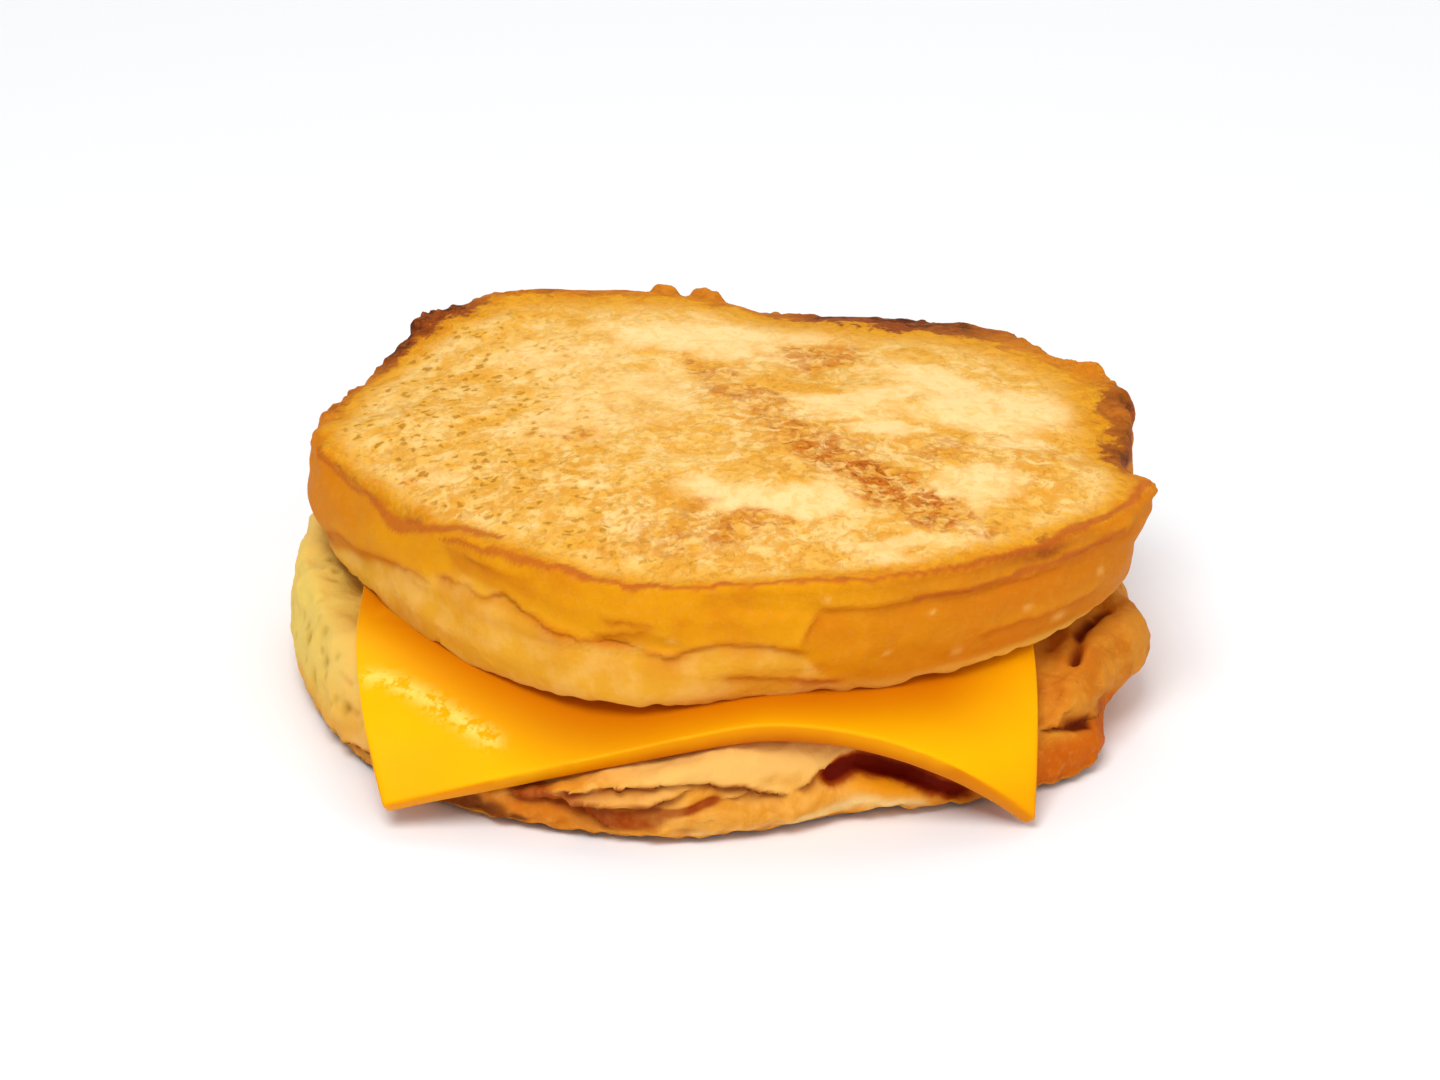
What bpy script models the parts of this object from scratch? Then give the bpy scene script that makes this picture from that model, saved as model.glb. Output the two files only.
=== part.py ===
"""A grilled cheese sandwich: two toasted slices of bread with a slab of cheese between them.

The sandwich lies on its bottom slice. The slab is wider than the front of the loaf, so its two front
corners droop to the table, and the top slice sags a little over its front edge. Front is -Y, up is +Z,
and the origin is on the table, under the middle of the sandwich.
"""

import math

import bpy
from mathutils import Matrix, Vector, noise
from mathutils.bvhtree import BVHTree

MM = 0.001
GAP = 0.3  # mm left between two pieces that rest on each other

# Driving sizes, in mm and degrees. A rim or foot lists (angle, reach, height) round a slice's edge,
# and a fold's path runs over the crust through (angle, part of the crust's height). A dent lists its
# angle and half width, its part of the crust's height and half height, and its depth.

CHEESE = {
    "width": 92.8,
    "depth": 90.0,
    "thickness": 2.9,
    "middle_x": -2.6,
    "front_y": -52.3,
    "upper_z": 17.4,
    "crest_x": 6.5,  # the front edge is highest here and falls away to both sides
    "left_slope": 0.255,  # drop for each mm left of the crest
    "crest_round": 4.0,
    "right_curl": 0.0112,  # drop for each square mm right of the crest
    "droop_reach": 28.0,  # the droop dies out this far behind the front edge
    "pull_in": (0.38, 0.16),  # how far a corner draws in for each mm of drop, left and right
    "pull_back": (0.1, 0.12),
    "taper": 0.08,  # the right side draws in by this part of its width over the taper's length
    "taper_length": 40.0,
    "least_z": 0.25,
    "edge_round": 0.5,
    "cells": (24, 16),
}

TOP_SLICE = {
    "rim": (
        (9, 57.5, 34.7),
        (20, 57.8, 34.7),
        (27, 54.8, 35.0),
        (42, 55.6, 34.1),
        (61, 47.5, 34.6),
        (79, 44.2, 35.2),
        (95, 47.2, 36.4),
        (111, 51.3, 37.4),
        (127, 57.0, 37.3),
        (138, 57.3, 35.8),
        (146, 56.9, 33.6),
        (154, 55.8, 32.1),
        (161, 56.8, 31.6),
        (169, 56.2, 31.6),
        (176, 56.6, 33.0),
        (185, 52.2, 32.2),
        (194, 48.9, 32.4),
        (211, 44.9, 32.8),
        (229, 44.2, 32.9),
        (248, 44.3, 33.0),
        (267, 44.7, 33.2),
        (291, 47.0, 33.5),
        (315, 51.2, 33.8),
        (332, 57.2, 33.6),
        (343, 62.0, 34.3),
        (349, 55.6, 34.0),
        (357, 55.0, 34.3),
    ),
    "foot": (
        (9, 57.0, 19.0),
        (42, 54.0, 18.2),
        (61, 47.3, 17.8),
        (79, 44.3, 17.8),
        (95, 46.3, 17.8),
        (127, 56.5, 17.8),
        (141, 60.0, 18.2),
        (169, 58.0, 19.0),
        (182, 55.2, 16.6),
        (196, 50.5, 16.0),
        (220, 48.6, 16.0),
        (237, 48.1, 16.6),
        (252, 49.5, 17.0),
        (275, 45.8, 17.0),
        (300, 47.2, 17.0),
        (317, 50.7, 17.5),
        (337, 56.0, 18.2),
        (348, 56.4, 18.6),
    ),
    "middle_upper_z": 37.6,
    "middle_lower_z": 17.8,
    "crown": 2.3,  # how late the faces curve towards the rim
    "bulge": 1.2,
    "roughness": 0.5,
    "folds": (
        # where the browned crust overhangs the soft lower band
        {
            "path": ((176, 0.12), (192, 0.3), (206, 0.48), (222, 0.7), (239, 0.6), (251, 0.52), (263, 0.5)),
            "width": 1.3,
            "depth": 1.1,
        },
        {"path": ((263, 0.5), (272, 0.56), (282, 0.44)), "width": 1.2, "depth": 0.8},
        # the lip under the rim, and a crease near the foot
        {"path": ((267, 0.8), (299, 0.74), (315, 0.72), (332, 0.76)), "width": 1.1, "depth": 0.8},
        {"path": ((271, 0.27), (278, 0.22), (290, 0.12)), "width": 1.0, "depth": 0.6},
    ),
    "dents": ((206, 9, 0.85, 0.12, 0.8), (284, 3, 0.62, 0.25, 0.6), (346, 8, 0.55, 0.25, 2.0)),
}

BOTTOM_SLICE = {
    "rim": (
        (5, 54.5, 15.6),
        (30, 56.0, 16.2),
        (50, 55.5, 16.4),
        (75, 49.0, 16.2),
        (100, 49.0, 16.2),
        (125, 56.5, 16.4),
        (150, 59.5, 16.6),
        (175, 59.0, 16.8),
        (190, 57.5, 16.6),
        (205, 55.5, 15.0),
        (217, 54.5, 13.2),
        (235, 55.0, 13.4),
        (252, 53.5, 13.4),
        (267, 52.0, 13.4),
        (282, 50.2, 13.4),
        (296, 49.8, 10.5),
        (310, 53.5, 10.5),
        (322, 56.5, 14.0),
        (334, 57.0, 16.2),
        (344, 58.6, 16.2),
        (352, 54.8, 15.8),
    ),
    "foot": (
        (5, 57.0, 0.0),
        (30, 56.0, 0.0),
        (50, 55.0, 0.0),
        (75, 49.0, 0.0),
        (100, 49.0, 0.0),
        (125, 55.0, 0.0),
        (150, 58.5, 0.0),
        (175, 59.0, 0.0),
        (195, 58.8, 0.0),
        (217, 58.8, 0.0),
        (234, 57.4, 0.0),
        (248, 55.3, 0.0),
        (262, 54.6, 0.0),
        (277, 52.2, 0.0),
        (288, 50.3, 0.0),
        (296, 52.3, 0.0),
        (310, 56.5, 0.0),
        (326, 61.5, 0.0),
        (333, 57.5, 0.0),
        (341, 54.8, 0.0),
        (350, 55.0, 0.0),
    ),
    "middle_upper_z": 14.2,
    "middle_lower_z": 0.0,
    "crown": 6.0,
    "bulge": 1.6,
    "roughness": 0.35,
    "folds": (
        # the squashed crust buckles in layers under the front of the slab
        {
            "path": ((252, 0.65), (260, 0.72), (269, 0.68), (280, 0.51), (287, 0.68)),
            "width": 1.2,
            "depth": 1.4,
        },
        {"path": ((242, 0.53), (248, 0.44), (253, 0.32)), "width": 1.1, "depth": 1.0},
        {"path": ((254, 0.51), (259, 0.47), (267, 0.62)), "width": 1.0, "depth": 0.9},
        # at the right end the foot stands out below the puffed side
        {"path": ((312, 0.75), (318, 0.72), (325, 0.56), (334, 0.45)), "width": 1.3, "depth": 2.0},
        {"path": ((205, 0.12), (214, 0.22), (220, 0.3)), "width": 1.0, "depth": 0.8},
    ),
    "dents": ((299, 7, 0.78, 0.16, 2.2), (326, 3, 0.9, 0.25, 1.6), (346, 9, 0.6, 0.3, -3.4)),
}

# The half outline of a slice, from the middle of its upper face to the middle of its lower face, as
# (part of the reach, part of the height). It is turned round, and then each point is put in place.
FACE_PARTS = (0.0, 0.34, 0.58, 0.74, 0.81, 0.87, 0.93)
CORNER = (0.985, 0.975)
CRUST_ROWS = 9
AROUND = 110
FOLD_SWELL = (0.5, 2.0, 1.2)  # above a fold: part of its depth, and width and distance in fold widths

# The crust's unevenness: the sizes of its lumps in mm, and how much the finer ones count.
COARSE_LUMP = 11.0
FINE_LUMP = 5.0
FINE_SHARE = 0.5
UPWARD_LEAN = 25.0  # mm: the higher this is, the more the lumps raise the faces, not the sides

# Lines straight up and down find the slab, at a place and on rings round it.
RINGS = (1.5, 3.0, 4.5)  # mm, and only the first one where the slab is right above or below
RING_STEP = 20  # degrees
LINES_FROM = {"below": -50.0, "above": 150.0}  # mm
SHARP_EDGE = 40  # degrees

COLOURS = {
    "bread_top": ((0.80, 0.47, 0.16), 0.75),
    "cheese": ((0.95, 0.55, 0.02), 0.35),
    "bread_bottom": ((0.78, 0.52, 0.24), 0.80),
}


def clear_scene():
    for old in list(bpy.data.objects):
        bpy.data.objects.remove(old)


def material(name):
    colour, roughness = COLOURS[name]
    made = bpy.data.materials.new(name)
    made.use_nodes = True
    shader = made.node_tree.nodes["Principled BSDF"]
    shader.inputs["Base Color"].default_value = (*colour, 1.0)
    shader.inputs["Roughness"].default_value = roughness
    shader.inputs["Metallic"].default_value = 0.0
    return made


def add_object(name, mesh, collection):
    made = bpy.data.objects.new(name, mesh)
    collection.objects.link(made)
    mesh.materials.append(material(name))
    return made


def evaluated(thing):
    bpy.context.view_layer.update()
    return thing.evaluated_get(bpy.context.evaluated_depsgraph_get())


# ---- the slab of cheese


def droop(x, y):
    """How far the slab hangs below its flat level, at a place on the flat slab."""
    behind = (y - CHEESE["front_y"]) / CHEESE["droop_reach"]
    fade = max(0.0, 1.0 - behind) ** 2
    side = x - CHEESE["crest_x"]
    if side < 0:
        rounding = CHEESE["crest_round"]
        return CHEESE["left_slope"] * (math.hypot(side, rounding) - rounding) * fade
    return CHEESE["right_curl"] * side**2 * fade


def on_slab(x, y):
    """The place on the drooping upper face that a place on the flat slab moves to."""
    drop = droop(x, y)
    side = 1 if x > CHEESE["crest_x"] else 0
    inwards = CHEESE["pull_in"][side] * drop * (1 - 2 * side)
    back = CHEESE["pull_back"][side] * drop
    behind = min(y - CHEESE["front_y"], CHEESE["taper_length"]) / CHEESE["taper_length"]
    taper = side * CHEESE["taper"] * behind * (x - CHEESE["crest_x"])
    return Vector((x + inwards - taper, y + back, CHEESE["upper_z"] - drop))


def make_cheese(collection):
    """A flat grid bent into the drooping upper face, given its thickness downwards and rounded edges."""
    across, along = CHEESE["cells"]
    bpy.ops.mesh.primitive_grid_add(x_subdivisions=across, y_subdivisions=along, size=1)
    grid = bpy.context.object
    mesh = grid.data.copy()
    bpy.data.objects.remove(grid)
    for vertex in mesh.vertices:
        x = CHEESE["middle_x"] + vertex.co.x * CHEESE["width"]
        y = CHEESE["front_y"] + (vertex.co.y + 0.5) * CHEESE["depth"]
        vertex.co = on_slab(x, y) * MM
    slab = add_object("cheese", mesh, collection)
    wall = slab.modifiers.new("thickness", "SOLIDIFY")
    wall.thickness = CHEESE["thickness"] * MM
    wall.offset = -1.0
    wall.use_even_offset = True
    edges = slab.modifiers.new("edges", "BEVEL")
    edges.width = CHEESE["edge_round"] * MM
    edges.segments = 2
    edges.limit_method = "ANGLE"
    edges.angle_limit = math.radians(50)
    slab.data = bpy.data.meshes.new_from_object(evaluated(slab))
    slab.modifiers.clear()
    for vertex in slab.data.vertices:
        vertex.co.z = max(vertex.co.z, CHEESE["least_z"] * MM)
    return slab


# ---- the slices of bread


def round_edge(points, angle):
    """(reach, height) at an angle: a smooth closed curve through the listed points."""
    count = len(points)
    index = max(i for i in range(-1, count) if i < 0 or points[i][0] <= angle)

    def point(i):
        turn, reach, height = points[i % count]
        return turn + 360.0 * (i // count), reach, height

    before, start, end, after = (point(index + i) for i in (-1, 0, 1, 2))
    span = end[0] - start[0]
    part = (angle - start[0]) / span
    values = []
    for axis in (1, 2):
        leave = (end[axis] - before[axis]) / (end[0] - before[0]) * span
        arrive = (after[axis] - start[axis]) / (after[0] - start[0]) * span
        values.append(
            (2 * part**3 - 3 * part**2 + 1) * start[axis]
            + (part**3 - 2 * part**2 + part) * leave
            + (3 * part**2 - 2 * part**3) * end[axis]
            + (part**3 - part**2) * arrive
        )
    return values


def distance_to_path(place, path):
    """How far a place is from a line of points, and whether it lies above it, both in mm."""
    nearest = (1e9, 0.0)
    for start, end in zip(path, path[1:]):
        run = end - start
        part = min(1.0, max(0.0, (place - start).dot(run) / run.length_squared))
        away = place - (start + run * part)
        if away.length < nearest[0]:
            nearest = (away.length, away.y)
    return nearest


def fold_depth(slice_, angle, part, reach, height):
    """How far the crust is pushed in at a place by its folds. Just above a fold it swells out."""
    depth = 0.0
    for fold in slice_["folds"]:
        path = [Vector((math.radians(turn) * reach, row * height)) for turn, row in fold["path"]]
        place = Vector((math.radians(angle) * reach, part * height))
        away, above = distance_to_path(place, path)
        depth += fold["depth"] * math.exp(-((away / fold["width"]) ** 2))
        if above > 0:
            share, width, distance = FOLD_SWELL
            depth -= share * fold["depth"] * math.exp(-((away / fold["width"] / width - distance) ** 2))
    for turn, half_turn, row, half_row, dent in slice_["dents"]:
        aside = (angle - turn + 180.0) % 360.0 - 180.0
        depth += dent * math.exp(-((aside / half_turn) ** 2) - ((part - row) / half_row) ** 2)
    return depth


def place_on_slice(slice_, angle, part_out, part_up):
    """Where a point of the turned outline goes on the real, uneven slice, in mm."""
    rim_reach, rim_z = round_edge(slice_["rim"], angle)
    foot_reach, foot_z = round_edge(slice_["foot"], angle)
    reach = foot_reach + (rim_reach - foot_reach) * part_up
    reach += slice_["bulge"] * math.sin(math.pi * part_up)
    curve = part_out ** slice_["crown"]
    upper_z = slice_["middle_upper_z"] + (rim_z - slice_["middle_upper_z"]) * curve
    lower_z = slice_["middle_lower_z"] + (foot_z - slice_["middle_lower_z"]) * curve
    if part_out > FACE_PARTS[-1]:
        reach -= fold_depth(slice_, angle, part_up, reach, rim_z - foot_z)
    turn = math.radians(angle)
    place = Vector((math.cos(turn), math.sin(turn), 0.0)) * reach * part_out
    place.z = lower_z + (upper_z - lower_z) * part_up
    return place


def turned_slice(name, collection):
    """The half outline turned round by a Screw, as a mesh of unit reach and unit height."""
    upper = [(part, 1.0) for part in FACE_PARTS] + [CORNER]
    crust = [(1.0, 1.0 - (row + 1) / (CRUST_ROWS + 1)) for row in range(CRUST_ROWS)]
    lower = [(part, 1.0 - up) for part, up in reversed(upper)]
    outline = upper + crust + lower
    mesh = bpy.data.meshes.new(name)
    edges = [(i, i + 1) for i in range(len(outline) - 1)]
    mesh.from_pydata([(part, 0.0, up) for part, up in outline], edges, [])
    turned = add_object(name, mesh, collection)
    screw = turned.modifiers.new("turn", "SCREW")
    screw.steps = AROUND
    screw.render_steps = AROUND
    screw.use_merge_vertices = True
    screw.merge_threshold = 1e-5
    turned.data = bpy.data.meshes.new_from_object(evaluated(turned))
    turned.modifiers.clear()
    return turned


def unevenness(place, roughness):
    """How far the crust's lumps push a place on a slice outwards and upwards."""
    lumps = noise.noise(place / COARSE_LUMP) + FINE_SHARE * noise.noise(place / FINE_LUMP)
    return Vector((place.x, place.y, UPWARD_LEAN)).normalized() * lumps * roughness


def make_slice(name, slice_, collection):
    piece = turned_slice(name, collection)
    for vertex in piece.data.vertices:
        angle = math.degrees(math.atan2(vertex.co.y, vertex.co.x)) % 360.0
        part_out = min(1.0, math.hypot(vertex.co.x, vertex.co.y))
        place = place_on_slice(slice_, angle, part_out, vertex.co.z)
        if place.z > GAP:
            place += unevenness(place, slice_["roughness"])
        vertex.co = place * MM
    return piece


def slab_levels(tree, place, from_below):
    """The heights at which lines straight up or down meet the slab, at a place and close around it."""
    start_z = LINES_FROM["below" if from_below else "above"] * MM
    rise = 1.0 if from_below else -1.0

    def level(way, reach):
        start = Vector((place.x + way.x * reach * MM, place.y + way.y * reach * MM, start_z))
        hit = tree.ray_cast(start, (0.0, 0.0, rise))[0]
        return None if hit is None else hit.z

    levels = [level(Vector((0.0, 0.0)), 0.0)]
    rings = RINGS if levels[0] is None else RINGS[:1]
    for turn in range(0, 360, RING_STEP):
        way = Vector((math.cos(math.radians(turn)), math.sin(math.radians(turn))))
        levels += [level(way, reach) for reach in rings]
    return [z for z in levels if z is not None]


def keep_clear(piece, slab, from_below):
    """Keeps a slice clear of the slab: the top slice is lifted off it, the bottom slice pressed under it."""
    tree = BVHTree.FromObject(slab, bpy.context.evaluated_depsgraph_get())
    for vertex in piece.data.vertices:
        levels = slab_levels(tree, vertex.co, from_below)
        if levels and from_below:
            vertex.co.z = min(vertex.co.z, max(min(levels) - GAP * MM, 0.0))
        elif levels:
            vertex.co.z = max(vertex.co.z, max(levels) + GAP * MM)


def centre(pieces):
    """Moves the whole sandwich so that the middle of its box is over the origin."""
    corners = [vertex.co for piece in pieces for vertex in piece.data.vertices]
    middle_x = (min(co.x for co in corners) + max(co.x for co in corners)) / 2
    middle_y = (min(co.y for co in corners) + max(co.y for co in corners)) / 2
    lowest = min(co.z for co in corners)
    for piece in pieces:
        piece.data.transform(Matrix.Translation((-middle_x, -middle_y, -lowest)))


def main():
    clear_scene()
    sandwich = bpy.data.collections.new("grilled_cheese_sandwich")
    bpy.context.scene.collection.children.link(sandwich)
    slab = make_cheese(sandwich)
    upper = make_slice("bread_top", TOP_SLICE, sandwich)
    lower = make_slice("bread_bottom", BOTTOM_SLICE, sandwich)
    keep_clear(upper, slab, from_below=False)
    keep_clear(lower, slab, from_below=True)
    centre([slab, upper, lower])
    for piece in (slab, upper, lower):
        piece.data.shade_smooth()
        piece.data.set_sharp_from_angle(angle=math.radians(SHARP_EDGE))


main()
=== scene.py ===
import math

import bpy
import numpy as np
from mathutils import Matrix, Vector, noise
from mathutils.kdtree import KDTree


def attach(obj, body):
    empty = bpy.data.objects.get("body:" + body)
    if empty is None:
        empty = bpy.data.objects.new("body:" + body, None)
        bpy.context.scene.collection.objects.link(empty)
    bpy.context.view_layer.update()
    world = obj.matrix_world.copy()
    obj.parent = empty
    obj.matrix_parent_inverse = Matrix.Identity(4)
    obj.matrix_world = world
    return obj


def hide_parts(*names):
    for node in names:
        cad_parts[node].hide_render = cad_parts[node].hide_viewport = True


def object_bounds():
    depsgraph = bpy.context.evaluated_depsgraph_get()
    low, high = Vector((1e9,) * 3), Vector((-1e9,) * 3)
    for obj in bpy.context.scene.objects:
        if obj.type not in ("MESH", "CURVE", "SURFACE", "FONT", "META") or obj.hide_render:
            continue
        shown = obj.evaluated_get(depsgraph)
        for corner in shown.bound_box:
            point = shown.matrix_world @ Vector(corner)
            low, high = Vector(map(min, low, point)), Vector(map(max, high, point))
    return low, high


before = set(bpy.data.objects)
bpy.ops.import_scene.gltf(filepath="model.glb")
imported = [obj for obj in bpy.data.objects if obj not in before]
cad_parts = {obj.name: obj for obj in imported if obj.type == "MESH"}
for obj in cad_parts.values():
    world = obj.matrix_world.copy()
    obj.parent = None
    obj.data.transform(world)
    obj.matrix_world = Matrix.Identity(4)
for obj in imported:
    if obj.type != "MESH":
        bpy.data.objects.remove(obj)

mm = 0.001
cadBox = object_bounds()  # the solids' own box, before anything is replaced
breadVoxel = 0.54  # mm, the grain of both slices' meshes
paintedReach = 20.0  # mm that a painted distance of 1 stands for
breadShader = {  # what both slices' shaders share
    "Specular IOR Level": 0.06,
    "Subsurface Weight": 0.2,
    "Subsurface Scale": 0.003,
    "Subsurface Radius": (1.0, 0.42, 0.12),
}


def pickOnly(piece):
    bpy.ops.object.select_all(action="DESELECT")
    piece.select_set(True)
    bpy.context.view_layer.objects.active = piece


def applyModifier(piece, kind, **settings):
    pickOnly(piece)
    bpy.ops.object.modifier_add(type=kind)
    modifier = piece.modifiers[-1]
    for key, value in settings.items():
        setattr(modifier, key, value)
    bpy.ops.object.modifier_apply(modifier=modifier.name)


def copyOfNode(node, name):
    # the solid's shape as a new object with merged points, and quads where its triangles pair up
    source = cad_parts[node]
    piece = bpy.data.objects.new(name, source.data.copy())
    bpy.context.scene.collection.objects.link(piece)
    piece.data.materials.clear()
    pickOnly(piece)
    bpy.ops.mesh.customdata_custom_splitnormals_clear()
    bpy.ops.object.mode_set(mode="EDIT")
    bpy.ops.mesh.select_all(action="SELECT")
    bpy.ops.mesh.remove_doubles(threshold=0.01 * mm)
    bpy.ops.mesh.tris_convert_to_quads(face_threshold=math.radians(60), shape_threshold=math.radians(60))
    bpy.ops.mesh.normals_make_consistent(inside=False)
    bpy.ops.object.mode_set(mode="OBJECT")
    piece.data.shade_smooth()
    applyModifier(piece, "SUBSURF", levels=2, render_levels=2)
    return piece


def triples(rows, name):
    found = np.empty(len(rows) * 3)
    rows.foreach_get(name, found)
    return found.reshape(-1, 3)


def places(piece):
    return triples(piece.data.vertices, "co") / mm


def putPlaces(piece, points):
    piece.data.vertices.foreach_set("co", (points * mm).ravel())
    piece.data.update()
    piece.data.shade_smooth()


def normals(piece):
    return triples(piece.data.vertex_normals, "vector")


def paint(piece, **values):
    # numbers from 0 to 1 at each point, which the material reads by name
    for name, numbers in values.items():
        layer = piece.data.attributes.new(name, "FLOAT", "POINT")
        layer.data.foreach_set("value", np.clip(numbers, 0.0, 1.0).astype(np.float32))


def cloud(points, size, shift=0.0):
    # smooth noise from about -1 to 1, with lumps of about the given size in mm
    return np.array([noise.noise(Vector(p)) for p in points / size + shift]) * 1.6


def clouds(points, size, *shifts):
    return np.column_stack([cloud(points, size, shift) for shift in shifts])


def step(value, low, high):
    part = np.clip((value - low) / (high - low), 0.0, 1.0)
    return part * part * (3.0 - 2.0 * part)


def bump(value, width):
    return np.exp(-((value / width) ** 2))


def arc(turn, rising, falling):
    # 1 round a part of the slice: it rises between two angles and falls between two more
    opening, closing = step(turn, *rising), 1.0 - step(turn, *falling)
    return opening * closing if rising[0] < falling[0] else np.clip(opening + closing, 0.0, 1.0)


def aroundPiece(points, middle):
    # (angle in degrees, reach in mm) of each point about the upright line through the piece's middle
    flat = points[:, :2] - middle
    return np.degrees(np.arctan2(flat[:, 1], flat[:, 0])) % 360.0, np.hypot(flat[:, 0], flat[:, 1])


def fromAngle(turn, angle):
    # degrees from an angle, between -180 and 180
    return (turn - angle + 180.0) % 360.0 - 180.0


def byAngle(turn, pairs):
    angles, values = zip(*pairs)
    return np.interp(turn, angles, values, period=360.0)


def roundEdge(turn, values, chosen, percent=99):
    # the value that the chosen points reach at each angle, smoothed a little
    angles = np.arange(0.0, 360.0, 3.0)
    found = [np.percentile(values[chosen & (abs(fromAngle(turn, angle)) < 2.5)], percent) for angle in angles]
    found = (np.roll(found, 1) + 2 * np.array(found) + np.roll(found, -1)) / 4
    return np.interp(turn, angles, found, period=360.0)


def patches(flat, specs):
    # how strongly tilted ovals mark each point of a face, each fading out at its edge
    total = np.zeros(len(flat))
    for x, y, wide, deep, tilt, strength in specs:
        c, s = math.cos(math.radians(tilt)), math.sin(math.radians(tilt))
        u = ((flat[:, 0] - x) * c + (flat[:, 1] - y) * s) / wide
        v = (-(flat[:, 0] - x) * s + (flat[:, 1] - y) * c) / deep
        total = np.maximum(total, strength * (1.0 - step(np.hypot(u, v), 0.55, 1.25)))
    return total


def spots(points, specs):
    # 1 in the middle of round spots, fading out at their radius: (place, radius)
    total = np.zeros(len(points))
    for place, radius in specs:
        total = np.maximum(total, bump(np.linalg.norm(points - place, axis=1), radius))
    return total


def smoothed(piece, values, rounds):
    # each value averaged with those of the neighbouring points
    ends = np.empty(len(piece.data.edges) * 2, np.int32)
    piece.data.edges.foreach_get("vertices", ends)
    first, second = ends.reshape(-1, 2).T
    count = len(values)
    shares = np.bincount(first, minlength=count) + np.bincount(second, minlength=count)
    for _ in range(rounds):
        around = np.bincount(first, values[second], count) + np.bincount(second, values[first], count)
        values = 0.5 * values + 0.5 * around / shares
    return values


def pits(points, spacing, size, chance):
    # 1 in the middle of scattered round holes, 0 between them
    found = np.zeros(len(points))
    for i, point in enumerate(points / spacing):
        distances, centres = noise.voronoi(Vector(point))
        if noise.cell(centres[0] * 7.3) * 0.5 + 0.5 < chance:
            found[i] = max(0.0, 1.0 - distances[0] * spacing / size)
    return found


def nearPath(points, path):
    # each point's distance from a line, how far along it that is and on which side, and the line's length
    best = np.full(len(points), np.inf)
    along, side, run = np.zeros(len(points)), np.zeros(len(points)), 0.0
    path = np.array(path, float)
    for start, end in zip(path[:-1], path[1:]):
        way = end - start
        length = np.linalg.norm(way)
        way = way / length
        part = np.clip((points - start) @ way, 0.0, length)
        off = points - start - part[:, None] * way
        distance = np.linalg.norm(off, axis=1)
        closer = distance < best
        best = np.where(closer, distance, best)
        along = np.where(closer, run + part, along)
        side = np.where(closer, way[0] * off[:, 1] - way[1] * off[:, 0], side)
        run += length
    return best, along, side, run


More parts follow.
